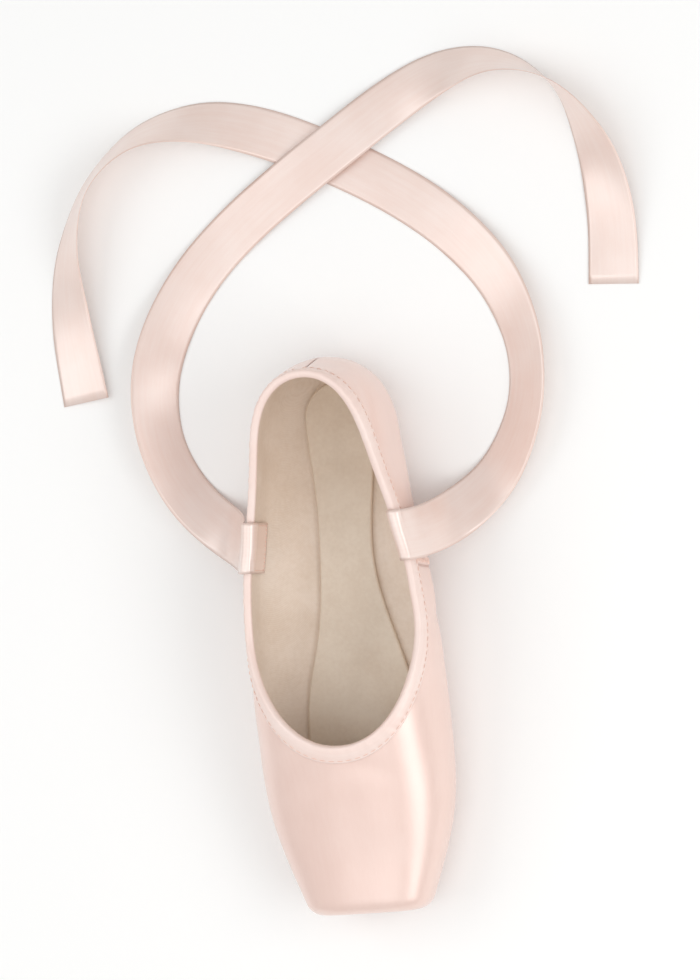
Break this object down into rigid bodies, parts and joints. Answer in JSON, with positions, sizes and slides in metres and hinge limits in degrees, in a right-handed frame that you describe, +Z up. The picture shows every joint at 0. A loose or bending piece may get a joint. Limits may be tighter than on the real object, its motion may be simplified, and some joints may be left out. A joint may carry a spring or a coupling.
{
  "type": "pointe shoe",
  "caption": "Satin ballet pointe shoe with a flat platform toe, an oval throat, a leather outsole and loose ankle ribbons.",
  "frame": {"origin": "on the floor, under the middle of the shoe's length and width, without its ribbons", "axes": "+X towards the toe, +Y towards the wearer's left, +Z up from the floor"},
  "size_m": [0.3696, 0.2684, 0.0627],
  "materials": {
    "satin_upper": "peach-pink satin over glued canvas",
    "satin_binding": "peach-pink satin bias tape",
    "outsole_leather": "cream split leather with a burnished brown edge",
    "insole_cloth": "plain cotton over card",
    "satin_ribbon": "pale peach-pink satin ribbon"
  },
  "bodies": {
    "root": {"upper": "satin_upper", "collar_binding": "satin_binding", "outsole": "outsole_leather", "insole": "insole_cloth", "ribbon_left": "satin_ribbon", "ribbon_right": "satin_ribbon"}
  },
  "joints": []
}
